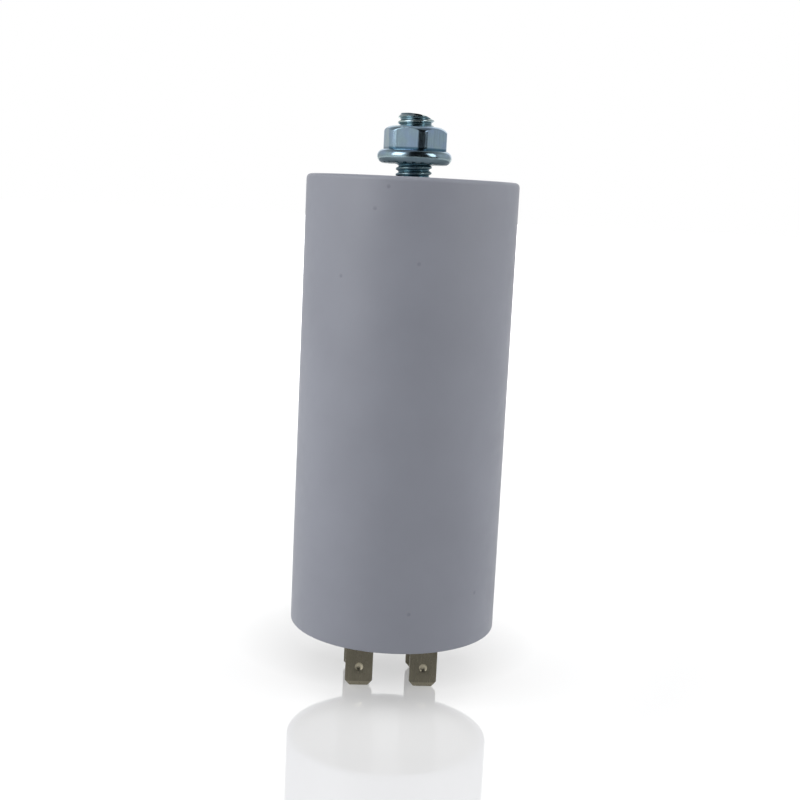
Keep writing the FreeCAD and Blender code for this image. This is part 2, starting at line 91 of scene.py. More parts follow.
class CupSettings(bpy.types.PropertyGroup):
    """The moulded cup"""

    radius: length("Radius", "Outside of the cup", can_high.x)
    depth: length("Depth", "Mounting face to the rim", -can_low.z)
    hole_radius: length("Hole radius", "Where the stud passes through the floor", 4.0 * MM)
    wall_at_rim: length("Wall at the rim", "Wall at the open end", 1.6 * MM)
    wall_at_floor: length("Wall at the floor", "Wall at the stud end", 2.0 * MM)
    floor: length("Floor", "Plastic over the stud's head", 2.6 * MM)
    face_edge: length("Face edge", "Rounding round the mounting face", 1.0 * MM)
    floor_corner: length("Floor corner", "Rounding inside the floor", 2.0 * MM)
    rim_edge: length("Rim edge", "Rounding of the rim", 0.35 * MM)
    boss_wall: length("Boss wall", "Plastic round the head's corners", 2.6 * MM)
    boss_cover: length("Boss cover", "Plastic below the head", 1.5 * MM)
    rib_reach: length("Rib reach", "Ribs below the boss", 5.2 * MM)
    rib_thickness: length("Rib thickness", "Thickness of a rib", 1.5 * MM)
    rib_count: IntProperty(name="Ribs", description="Ribs between boss and wall", default=8, min=3)
    steps: IntProperty(name="Steps", description="Facets round the cup", default=240, min=48)
    plastic: colour("Plastic", "Pale blue-grey plastic", (0.297, 0.311, 0.364))


class StudSettings(bpy.types.PropertyGroup):
    """The threaded stud and its moulded-in head"""

    radius: length("Radius", "Crest of the thread", 4.0 * MM)
    reach: length("Reach", "Mounting face to the tip", stud_high.z)
    pitch: length("Pitch", "One turn of the thread", 1.25 * MM)
    thread_depth: length("Thread depth", "Crest to root", 0.56 * MM)
    thread_rise: length("Thread rise", "Lifts the thread to set where its crests lie", 0.4 * MM)
    thread_start: length("Thread start", "Where the thread runs out in the floor", -0.35 * MM)
    tip_cone: length("Tip cone", "Height of the cone at the tip", 0.85 * MM)
    head_flats: length("Head flats", "Across the flats of the head", 13.0 * MM)
    head_top: length("Head top", "Upper face of the head", -2.6 * MM)
    steps: IntProperty(name="Steps", description="Facets in one turn", default=72, min=24)
    plating: colour("Plating", "Zinc plate on the thread", (0.57, 0.67, 0.69))


class NutSettings(bpy.types.PropertyGroup):
    """The flange nut"""

    flats: length("Flats", "Across the flats", 13.0 * MM)
    corner_radius: length("Corner radius", "Rounding of the six corners", 2.4 * MM)
    turn: angle("Turn", "Turn of the nut about the stud, from +X to a corner", 39.8)
    bore: length("Bore", "Radius of the bore", 4.05 * MM)
    mouth: length("Mouth", "Chamfer at both ends of the bore", 0.31 * MM)
    flange_radius: length("Flange radius", "Over the rim of the flange", 8.225 * MM)
    flange_height: length("Flange height", "Height of the round-rimmed flange", 3.0 * MM)
    flange_round: length("Flange rounding", "Rounding of the flange's rim", 1.45 * MM)
    neck: length("Neck", "Rounding between hexagon and flange", 0.1 * MM)
    crown_flat: length("Crown flat", "Radius of the flat top inside the crown", 4.9 * MM)
    crown_round: length("Crown rounding", "Rounding of the domed crown", 2.6 * MM)
    # Painted shade darkens the hexagon's foot this far out.
    shade_width: length("Grime width", "How far grime spreads from the hexagon's foot", 0.5 * MM)
    teeth: IntProperty(name="Teeth", description="Teeth under the flange", default=24, min=1)
    tooth_gap: length("Tooth gap", "Width of the gaps between teeth", 0.7 * MM)
    tooth_depth: length("Tooth depth", "Depth of those gaps", 0.3 * MM)
    tooth_start: length("Tooth start", "Radius where the teeth begin", 5.4 * MM)
    steps: IntProperty(name="Steps", description="Facets round the nut", default=360, min=72)
    plating: colour("Plating", "Blue passivated zinc", (0.447, 0.59, 0.725))


class TabSettings(bpy.types.PropertyGroup):
    """The two folded terminals"""

    edge: length("Edge", "Rounding left by the stamping tool", 0.07 * MM)
    tin: colour("Tin", "Dull tin, olive grey", (0.213, 0.197, 0.15))
    dimple_place: length("Dimple place", "Tip to the middle of a dimple", 4.45 * MM)


class ResinSettings(bpy.types.PropertyGroup):
    """The cast resin in the open end"""

    recess: length("Recess", "Rim of the cup to the surface of the resin", 1.6 * MM)
    climb: length("Climb", "How far the resin climbs the wall", 0.9 * MM)
    climb_width: length("Climb width", "Width of that climb", 1.8 * MM)
    rounding: length("Rounding", "Rounding of the climb", 0.4 * MM)
    black: colour("Resin", "Black cast resin", (0.018, 0.018, 0.020))


class StageSettings(bpy.types.PropertyGroup):
    """Floor, light and camera"""

    distance: length("Distance", "Camera to the axis of the cup", 0.27949)
    height: length("Height", "Camera above the mounting face", -0.004084)
    side: angle("Side", "Camera's turn about the cup", 4.2)
    pitch: angle("Pitch", "Camera's look down", 9.27)
    pan: angle("Pan", "Camera's look aside", -0.11)
    roll: angle("Roll", "Camera's lean", 2.82)
    lens: FloatProperty(name="Lens", description="Focal length on a 36 mm sensor, in mm",
                        default=56.06, min=10)
    floor_size: length("Floor size", "Half of the floor's side", 6.0)
    floor_tone: colour("Floor", "Pale floor", (0.86, 0.86, 0.86))
    shade_place: length("Shade place", "Behind the axis, where the floor is darkest", 0.030)
    shade_start: length("Shade start", "Distance from there where the floor brightens", 0.024)
    shade_stop: length("Shade stop", "Distance from there where the shade ends", 0.040)
    shade_glow: strength("Shade glow", "Backdrop white added in the shade", 0.14)
    near_glow: strength("Near glow", "Backdrop white added beside the cup", 0.28)
    far_glow: strength("Far glow", "Backdrop white added far from the cup", 0.75)
    horizon_glow: strength("Horizon glow", "White that only the camera sees, far off", 0.3)
    horizon_fade: strength("Horizon fade", "Share of the mirrored white lost far off", 0.7)
    mirror_fall: strength("Mirror fall", "White lost where the floor mirrors the cup", 0.045)
    mirror_start: length("Mirror start", "Distance where that begins", 0.058)
    mirror_stop: length("Mirror stop", "Distance where it is whole", 0.075)
    glow_start: length("Glow start", "Distance where the backdrop brightens", 0.10)
    glow_stop: length("Glow stop", "Distance where it is fully white", 0.50)
    ambient: strength("Ambient", "Even light from all round", 0.02)
    side_light: strength("Side light", "Light added from both sides", 2.55)
    lamp_distance: length("Lamp distance", "Middle of the cup to each lamp", 0.65)


# Meshes


def section(bm, corners, steps=6):
    """A closed outline of radius and height in the XZ plane, some corners rounded."""
    verts = [bm.verts.new((corner[0], 0, corner[1])) for corner in corners]
    bm.faces.new(verts)
    rounded = [(vert, corner[2:]) for vert, corner in zip(verts, corners) if len(corner) > 2]
    for vert, (radius, *own_steps) in rounded:
        bmesh.ops.bevel(bm, geom=[vert], offset=radius, offset_type="OFFSET",
                        segments=own_steps[0] if own_steps else steps, profile=0.5,
                        affect="VERTICES", material=-1)
    bmesh.ops.delete(bm, geom=list(bm.faces), context="FACES_ONLY")


def spin_round(bm, steps):
    """Turn everything in the mesh once about the Z axis and close it."""
    geometry = list(bm.verts) + list(bm.edges)
    bmesh.ops.spin(bm, geom=geometry, cent=(0, 0, 0), axis=(0, 0, 1), angle=TURN, steps=steps,
                   use_merge=True, use_duplicate=False)
    bmesh.ops.remove_doubles(bm, verts=bm.verts, dist=TINY)


def hexagon_reach(flats, corner_radius, bearing):
    """Distance from the axis to a hexagon with rounded corners, at a bearing from a corner."""
    apothem = flats / 2
    centre = (apothem - corner_radius) / math.cos(CORNER_TO_FLAT)
    off_corner = (bearing + CORNER_TO_FLAT) % (2 * CORNER_TO_FLAT) - CORNER_TO_FLAT
    off_flat = CORNER_TO_FLAT - abs(off_corner)
    tangent = math.atan2(centre / 2, apothem)
    if off_flat <= tangent:
        return apothem / math.cos(off_flat)
    across = centre * math.sin(off_corner)
    return centre * math.cos(off_corner) + math.sqrt(corner_radius ** 2 - across ** 2)


def set_radius(vert, radius):
    """Move a vertex out or in to a radius, at its own bearing."""
    here = vert.co.xy.length
    if here > 0:
        vert.co.x *= radius / here
        vert.co.y *= radius / here


def add_object(bm, name):
    """An object in the scene with what the bmesh holds."""
    mesh = bpy.data.meshes.new(name)
    bm.to_mesh(mesh)
    bm.free()
    made = bpy.data.objects.new(name, mesh)
    bpy.context.scene.collection.objects.link(made)
    return made


def finish_mesh(bm, name, replaces, material, sharp=30):
    """Make a piece of the mesh, smooth but for its sharp edges, in place of a solid."""
    bmesh.ops.recalc_face_normals(bm, faces=bm.faces)
    piece = add_object(bm, name)
    piece.data.shade_smooth()
    piece.data.set_sharp_from_angle(angle=math.radians(sharp))
    piece.data.materials.append(material)
    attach(piece, BODY)
    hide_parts(*replaces)
    return piece


def copy_solid(node):
    """A copy of a solid's mesh, its loose triangles merged and its flat faces joined."""
    bm = bmesh.new()
    bm.from_mesh(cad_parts[node].data)
    bmesh.ops.remove_doubles(bm, verts=bm.verts, dist=TINY)
    bmesh.ops.dissolve_limit(bm, angle_limit=math.radians(0.5), verts=bm.verts, edges=bm.edges)
    return bm


def apply_modifiers(piece):
    """Turn what the modifiers make into the piece's own mesh."""
    graph = bpy.context.evaluated_depsgraph_get()
    made = bpy.data.meshes.new_from_object(piece.evaluated_get(graph))
    old = piece.data
    piece.modifiers.clear()
    piece.data = made
    bpy.data.meshes.remove(old)


def unite(piece, others):
    """Join closed meshes to the piece, and take the loose ones away."""
    for other in others:
        step = piece.modifiers.new("join", "BOOLEAN")
        step.operation = "UNION"
        step.solver = "EXACT"
        step.object = other
    apply_modifiers(piece)
    for other in others:
        bpy.data.objects.remove(other)


# Materials


class Nodes:
    """A node tree and short ways of adding to it."""

    def __init__(self, tree):
        self.tree = tree

    def node(self, kind, values=None, **settings):
        """One node, its inputs set to numbers or joined to other outputs."""
        node = self.tree.nodes.new(kind)
        for name, value in settings.items():
            setattr(node, name, value)
        for name, value in (values or {}).items():
            if isinstance(value, bpy.types.NodeSocket):
                self.tree.links.new(value, node.inputs[name])
            else:
                node.inputs[name].default_value = value
        return node

    def math(self, operation, *values):
        """One sum, whose terms are numbers or other outputs."""
        return self.node("ShaderNodeMath", dict(enumerate(values)), operation=operation).outputs[0]

    def span(self, value, low, high, to_low, to_high):
        """A value carried from one range to another."""
        values = {"Value": value, "From Min": low, "From Max": high, "To Min": to_low,
                  "To Max": to_high}
        return self.node("ShaderNodeMapRange", values).outputs["Result"]

    def ramp(self, share, stops):
        """Greys between stops, each a share and a level."""
        node = self.node("ShaderNodeValToRGB", {0: share})
        elements = node.color_ramp.elements
        while len(elements) < len(stops):
            elements.new(0.5)
        for element, (place, level) in zip(elements, stops):
            element.position = place
            element.color = (level, level, level, 1)
        return node.outputs["Color"]


class Finish(Nodes):
    """A material whose patterns follow the object's own coordinates, in metres."""

    def __init__(self, name, colour, metallic=0.0, roughness=0.5):
        self.material = bpy.data.materials.new(name)
        self.material.use_nodes = True
        super().__init__(self.material.node_tree)
        self.shader = self.tree.nodes["Principled BSDF"]
        self.set("Base Color", (*colour, 1))
        self.set("Metallic", metallic)
        self.set("Roughness", roughness)
        self.place = self.node("ShaderNodeTexCoord").outputs["Object"]

    def set(self, socket, value):
        self.shader.inputs[socket].default_value = value

    def link(self, output, socket):
        self.tree.links.new(output, self.shader.inputs[socket])

    def level(self):
        """Height in the object's own coordinates."""
        return self.node("ShaderNodeSeparateXYZ", {0: self.place}).outputs["Z"]

    def distance(self, point):
        """How far it is to a point."""
        return self.node("ShaderNodeVectorMath", {0: self.place, 1: point},
                         operation="DISTANCE").outputs["Value"]

    def stretched(self, scale):
        """The coordinates with each axis scaled by itself."""
        return self.node("ShaderNodeMapping", {"Vector": self.place, "Scale": scale}).outputs[0]

    def noise(self, size, detail=3.0, roughness=0.5, stretch=None):
        """A soft pattern whose lumps are about this many millimetres across."""
        place = self.stretched(stretch) if stretch else self.place
        values = {"Vector": place, "Scale": 1 / (size * MM), "Detail": detail,
                  "Roughness": roughness}
        return self.node("ShaderNodeTexNoise", values).outputs["Fac"]

    def spread(self, noise, low=0, high=1):
        """A noise, whose usual range is 0.3 to 0.7, carried to another range."""
        return self.span(noise, 0.3, 0.7, low, high)

    def specks(self, size, share):
        """Small spots, one where a random cell passes the share."""
        cells = self.node("ShaderNodeTexVoronoi", {"Vector": self.place, "Scale": 1 / (size * MM)})
        wanted = self.node("ShaderNodeSeparateColor", {"Color": cells.outputs["Color"]})
        chosen = self.math("LESS_THAN", wanted.outputs[0], share)
        near = self.span(cells.outputs["Distance"], 0.16, 0.08, 0.0, 1.0)
        return self.math("MULTIPLY", chosen, near)

    def marks(self, places, size, softness):
        """Round marks about given points, each this many millimetres across."""
        nearest = 1.0
        for place in places:
            nearest = self.math("MINIMUM", self.distance(place), nearest)
        edge = size * MM / 2
        return self.span(nearest, edge, edge * (1 - softness), 0.0, 1.0)

    def mix(self, share, first, second):
        """A colour between two others."""
        node = self.node("ShaderNodeMix", data_type="RGBA")
        for index, value in ((0, share), (6, first), (7, second)):
            if isinstance(value, bpy.types.NodeSocket):
                self.tree.links.new(value, node.inputs[index])
            else:
                node.inputs[index].default_value = value if index == 0 else (*value, 1)
        return node.outputs[2]

    def bump(self, height, depth):
        """Raise the surface by a pattern, its depth in millimetres."""
        values = {"Height": height, "Distance": depth * MM, "Strength": 1.0}
        before = self.shader.inputs["Normal"].links
        if before:
            values["Normal"] = before[0].from_socket
        self.link(self.node("ShaderNodeBump", values).outputs[0], "Normal")


def tone(colour, factor):
    """A colour made lighter or darker."""
    return tuple(min(1.0, channel * factor) for channel in colour)


def tint(colour, *factors):
    """A colour with each channel scaled by itself."""
    return tuple(channel * factor for channel, factor in zip(colour, factors))


def make_cup_plastic(colour):
    """Satin moulded plastic with a fine grain, faint clouds and a few small scuffs."""
    finish = Finish("can_plastic", colour, roughness=0.5)
    clouds = finish.spread(finish.noise(14, detail=4))
    cloudy = finish.mix(clouds, tone(colour, 0.965), tone(colour, 1.035))
    # Bearing from the front in degrees, and level in mm
    marks = ((-16.3, -2.2), (-22.9, -6.7), (-41.1, -21.0), (0.8, -17.6), (4.7, -92.4),
             (45.6, -89.4), (128, -33), (171, -70), (-117, -58))
    places = [(can_high.x * math.sin(math.radians(bearing)),
               -can_high.x * math.cos(math.radians(bearing)), level * MM)
              for bearing, level in marks]
    spots = finish.math("MULTIPLY", finish.marks(places, 1.1, 0.6), finish.noise(0.6, detail=2))
    finish.link(finish.mix(spots, cloudy, tone(colour, 0.66)), "Base Color")
    finish.link(finish.spread(finish.noise(3, detail=5), 0.40, 0.50), "Roughness")
    finish.set("IOR", 1.49)
    finish.bump(finish.noise(0.35, detail=2), 0.012)
    finish.bump(finish.noise(6.0, detail=1), 0.02)
    return finish.material


def make_zinc(name, colour, roughness, find_painted_shade, shade_below):
    """Bright zinc plate: cloudy blue tint, faint streaks, and painted shade where a mask says.

    Below one level it is darker and greener, also painted shade.
    """
    finish = Finish(name, colour, metallic=1.0, roughness=roughness)
    clouds = finish.span(finish.noise(3.0, detail=4, roughness=0.55), 0.35, 0.65, 0, 1)
    cloudy = finish.mix(clouds, tint(colour, 0.92, 0.96, 1.06), tint(colour, 0.98, 1.04, 0.96))
    streaks = finish.span(finish.noise(0.4, detail=4, stretch=(1, 1, 0.1)), 0.35, 0.65, 0, 0.3)
    streaked = finish.mix(streaks, cloudy, tone(colour, 0.6))
    # Painted shade: darker and greener below the given level.
    below = finish.span(finish.level(), shade_below + MM / 2, shade_below - MM / 2, 0, 1)
    plated_and_shaded = finish.mix(below, streaked, tint(colour, 0.83, 0.83, 0.70))
    # Painted shade: a dark teal where the given mask says.
    painted_shade = tint(colour, 0.10, 0.25, 0.33)
    finish.link(finish.mix(find_painted_shade(finish), plated_and_shaded, painted_shade), "Base Color")
    grain = finish.noise(0.5, detail=4, roughness=0.65)
    finish.link(finish.spread(grain, roughness * 0.8, roughness * 1.3), "Roughness")
    finish.bump(finish.noise(0.16, detail=3), 0.0015)
    finish.bump(finish.noise(1.3, detail=3, stretch=(1, 1, 0.2)), 0.017)
    return finish.material


def make_tin(colour, dimples):
    """Dull tin on rolled brass, streaked, with painted reflections that make the tips and the
    dimples lighter.
    """
    finish = Finish("tinned_brass", colour, metallic=1.0, roughness=0.25)
    streaks = finish.noise(0.5, detail=4, stretch=(1, 1, 0.12))
    clouds = finish.noise(2.5, detail=4)
    pale = finish.mix(finish.spread(streaks), tone(colour, 0.93), tone(colour, 1.05))
    cloudy = finish.mix(finish.span(clouds, 0.45, 0.7, 0, 0.4), pale, tone(colour, 1.2))
    # Painted reflection: the tips are lighter, where their bevel mirrors the floor.
    tip = tabs_low.z + 1.05 * MM
    at_tip = finish.span(finish.level(), tip, tip - 0.15 * MM, 0, 0.8)
    with_tip_sheen = finish.mix(at_tip, cloudy, tone(colour, 1.7))
    # Painted reflection: the dimples are lighter, and rougher too.
    dimple_sheen = finish.marks(dimples, 1.96, 0.08)
    finish.link(finish.mix(dimple_sheen, with_tip_sheen, tone(colour, 2.6)), "Base Color")
    rough = finish.spread(streaks, 0.20, 0.30)
    finish.link(finish.math("MULTIPLY_ADD", dimple_sheen, 0.08, rough), "Roughness")
    finish.bump(streaks, 0.006)
    finish.bump(finish.noise(0.2, detail=2), 0.003)
    return finish.material


def make_resin(colour):
    """Cast black resin: glossy, gently uneven, with dust and small bubbles."""
    finish = Finish("resin", colour, roughness=0.22)
    dust = finish.span(finish.noise(0.8, detail=6, roughness=0.7), 0.5, 0.8, 0, 1)
    finish.link(finish.mix(dust, colour, (0.05, 0.05, 0.052)), "Base Color")
    finish.link(finish.span(dust, 0, 1, 0.16, 0.42), "Roughness")
    finish.bump(finish.noise(7.0, detail=2), 0.12)
    finish.bump(finish.specks(2.6, 0.18), -0.05)
    return finish.material


def make_film():
    """Metallised film seen edge-on: fine rings round the axis."""
    finish = Finish("film", (0.45, 0.46, 0.48), metallic=0.6, roughness=0.35)
    rings = finish.node("ShaderNodeTexWave", {"Vector": finish.place, "Scale": 1400.0,
                                              "Distortion": 0.6, "Detail": 2.0},
                        wave_type="RINGS", rings_direction="Z").outputs["Fac"]
    finish.link(finish.mix(rings, (0.36, 0.37, 0.39), (0.52, 0.53, 0.55)), "Base Color")
    finish.bump(rings, 0.01)
    return finish.material


def make_soft_plastic(name, colour, roughness, grain):
    """Plain extruded or wound plastic with a light grain."""
    finish = Finish(name, colour, roughness=roughness)
    clouds = finish.noise(3.0, detail=3)
    finish.link(finish.mix(clouds, tone(colour, 0.92), tone(colour, 1.06)), "Base Color")
    finish.link(finish.spread(clouds, roughness * 0.85, roughness * 1.15), "Roughness")
    finish.bump(finish.noise(grain, detail=2, stretch=(1, 1, 0.3)), 0.01)
    return finish.material


def make_plain_metal(name, colour, roughness, grain, depth):
    """Sprayed zinc, tinned wire or solder, told apart by grain and depth."""
    finish = Finish(name, colour, metallic=1.0, roughness=roughness)
    lumps = finish.noise(grain, detail=5, roughness=0.6)
    finish.link(finish.mix(lumps, tone(colour, 0.75), tone(colour, 1.15)), "Base Color")
    finish.link(finish.spread(lumps, roughness * 0.8, roughness * 1.2), "Roughness")
    finish.bump(lumps, depth)
    return finish.material


# Operators


class CAPACITOR_OT_shape_cup(bpy.types.Operator):
    """Turn the moulded cup with its boss, ribs and the bed of the stud's head"""

    bl_idname = "capacitor.shape_cup"
    bl_label = "Shape Cup"

    def execute(self, context):
        cup = context.scene.capacitor_cup
        stud = context.scene.capacitor_stud
        inside = cup.radius - cup.wall_at_floor
        corner = stud.head_flats / 2 / math.cos(CORNER_TO_FLAT)
        boss = corner + cup.boss_wall
        head_end = stud_low.z
        boss_end = head_end - cup.boss_cover
        bm = bmesh.new()
        section(bm, [
            (cup.hole_radius, 0),
            (cup.radius, 0, cup.face_edge),
            (cup.radius, -cup.depth, cup.rim_edge),
            (cup.radius - cup.wall_at_rim, -cup.depth, cup.rim_edge),
            (inside, -cup.floor, cup.floor_corner),
            (boss, -cup.floor),
            (boss, boss_end),
            (0, boss_end),
            (0, head_end),
            (corner, head_end),
            (corner, -cup.floor),
            (cup.hole_radius, -cup.floor),
        ])
        spin_round(bm, cup.steps)
        for vert in bm.verts:
            in_bed = head_end - MM / 10 < vert.co.z < -cup.floor + MM / 10
            if in_bed and abs(vert.co.xy.length - corner) < NEAR:
                bearing = math.atan2(vert.co.y, vert.co.x)
                set_radius(vert, hexagon_reach(stud.head_flats, 0, bearing))
        piece = finish_mesh(bm, "moulded_cup", ["housing_can"],
                            make_cup_plastic(cup.plastic))
        ribs = [self.make_rib(cup, boss, inside, index) for index in range(cup.rib_count)]
        unite(piece, ribs)
        piece.data.set_sharp_from_angle(angle=math.radians(30))
        return {"FINISHED"}

    def make_rib(self, cup, boss, inside, index):
        """One rib, let into boss and wall so that they join."""
        start = boss - cup.boss_wall / 4
        stop = inside + cup.wall_at_floor / 4
        height = self.rib_height(cup)
        bm = bmesh.new()
        bmesh.ops.create_cube(bm, size=1)
        bmesh.ops.scale(bm, vec=(stop - start, cup.rib_thickness, height), verts=bm.verts)
        middle = ((start + stop) / 2, 0, -cup.floor - height / 2 + cup.floor / 4)
        bmesh.ops.translate(bm, vec=middle, verts=bm.verts)
        bmesh.ops.rotate(bm, cent=(0, 0, 0), verts=bm.verts,
                         matrix=Matrix.Rotation(index * TURN / cup.rib_count, 3, "Z"))
        return add_object(bm, "rib")

    def rib_height(self, cup):
        boss_height = -cup.floor - (stud_low.z - cup.boss_cover)
        return boss_height + cup.rib_reach + cup.floor / 4


class CAPACITOR_OT_shape_stud(bpy.types.Operator):
    """Cut the stud's thread as a true helix and shape its tip and its buried head"""

    bl_idname = "capacitor.shape_stud"
    bl_label = "Shape Stud"

    def execute(self, context):
        stud = context.scene.capacitor_stud
        bm = bmesh.new()
        self.wind_thread(bm, stud)
        self.cut_ends(bm, stud)
        self.shape_tip(bm, stud)
        self.add_head(bm, stud)
        # Painted shade in the thread's roots and under the nut.
        material = make_zinc("zinc_steel", stud.plating, 0.18,
                             lambda finish: self.find_painted_shade(finish, stud), stud.thread_start)
        finish_mesh(bm, "threaded_stud", ["mounting_stud"], material, sharp=50)
        return {"FINISHED"}

    def find_painted_shade(self, finish, stud):
        """Painted shade: dark in the roots of the thread, and all over between the nut and the cup.
        """
        root = stud.radius - stud.thread_depth
        in_roots = 0.75
        below_nut = 0.45
        flat = finish.stretched((1, 1, 0))
        radius = finish.node("ShaderNodeVectorMath", {0: flat}, operation="LENGTH").outputs["Value"]
        outer = finish.span(radius, root, stud.radius - 0.15 * MM, in_roots, 0)
        inner = finish.span(radius, root - 0.2 * MM, root, 0, in_roots)
        roots = finish.math("MINIMUM", outer, inner)
        low = finish.span(finish.level(), nut_high.z, nut_low.z, 0, below_nut)
        return finish.math("MULTIPLY_ADD", roots, finish.math("SUBTRACT", 1, low), low)

    def wind_thread(self, bm, stud):
        """One tooth of the thread, wound up the stud by a right-hand spin."""
        steps = 14
        flatness = 0.12
        swing = stud.thread_depth / 2
        middle = stud.radius - swing
        tooth = []
        for step in range(steps + 1):
            along = step / steps - 0.5
            wave = math.cos(TURN * along) - flatness * math.cos(3 * TURN * along)
            tooth.append((middle + swing * wave / (1 - flatness), stud.pitch * along))
        start = stud.thread_start - stud.pitch + stud.thread_rise
        turns = math.ceil((stud.reach - start) / stud.pitch) + 1
        verts = [bm.verts.new((radius, 0, start + height)) for radius, height in tooth]
        edges = [bm.edges.new(pair) for pair in zip(verts, verts[1:])]
        bmesh.ops.spin(bm, geom=verts + edges, cent=(0, 0, 0), axis=(0, 0, 1),
                       dvec=(0, 0, stud.pitch / stud.steps), angle=turns * TURN,
                       steps=turns * stud.steps, use_merge=False, use_duplicate=False)
        bmesh.ops.remove_doubles(bm, verts=bm.verts, dist=2 * TINY)

    def cut_ends(self, bm, stud):
        for height, way in ((stud.reach, 1), (stud.thread_start, -1)):
            geometry = list(bm.verts) + list(bm.edges) + list(bm.faces)
            bmesh.ops.bisect_plane(bm, geom=geometry, dist=ON_PLANE, plane_co=(0, 0, height),
                                   plane_no=(0, 0, way), clear_outer=True)

    def open_edges(self, bm, height):
        return [edge for edge in bm.edges if edge.is_boundary
                and all(abs(vert.co.z - height) < NEAR for vert in edge.verts)]

    def shape_tip(self, bm, stud):
        """A cone that the thread runs out on, and a shallow dish in the end face."""
        root = stud.radius - stud.thread_depth
        for vert in bm.verts:
            below = stud.reach - vert.co.z
            limit = root + below * (stud.radius - root) / stud.tip_cone
            if vert.co.xy.length > limit:
                set_radius(vert, limit)
        edges = self.open_edges(bm, stud.reach)
        top = bmesh.ops.holes_fill(bm, edges=edges, sides=0)["faces"]
        for inset, depth in ((0.12 * MM, 0.0), (0.9 * MM, 0.12 * MM)):
            bmesh.ops.inset_region(bm, faces=top, thickness=inset, use_even_offset=True)
            inner = {vert for face in top for vert in face.verts}
            bmesh.ops.translate(bm, vec=(0, 0, -depth), verts=list(inner))
        self.slope_tip(bm, stud)

    def slope_tip(self, bm, stud):
        """The end is ground off to one side, in three flats that lean more and more."""
        # Lean in degrees, then where the flat starts and how low it lies there, in mm
        for lean, start, drop in ((5, -1.5, 0.028), (13, 0.9, 0.32368), (22, 2.3, 0.64512)):
            lean = math.radians(lean)
            away = Vector((math.sin(lean), 0, math.cos(lean)))
            geometry = list(bm.verts) + list(bm.edges) + list(bm.faces)
            cut = bmesh.ops.bisect_plane(bm, geom=geometry, dist=ON_PLANE, plane_no=away,
                                         plane_co=(start * MM, 0, stud.reach - drop * MM),
                                         clear_outer=True)["geom_cut"]
            edges = [item for item in cut if isinstance(item, bmesh.types.BMEdge)]
            bmesh.ops.holes_fill(bm, edges=edges, sides=0)

    def add_head(self, bm, stud):
        """Below the thread: the plain shank in the floor, then the hexagon head."""

        def shank(bearing):
            return stud.radius

        def hexagon(bearing):
            return hexagon_reach(stud.head_flats, 0, bearing)

        edges = self.open_edges(bm, stud.thread_start)
        rings = (
            (stud.thread_start - 0.1 * MM, shank),
            (stud.head_top, shank),
            (stud.head_top, hexagon),
            (stud_low.z, hexagon),
        )
        for height, reach in rings:
            grown = bmesh.ops.extrude_edge_only(bm, edges=edges)["geom"]
            edges = [item for item in grown if isinstance(item, bmesh.types.BMEdge)]
            for vert in {vert for edge in edges for vert in edge.verts}:
                vert.co.z = height
                set_radius(vert, reach(math.atan2(vert.co.y, vert.co.x)))
        bmesh.ops.holes_fill(bm, edges=edges, sides=0)


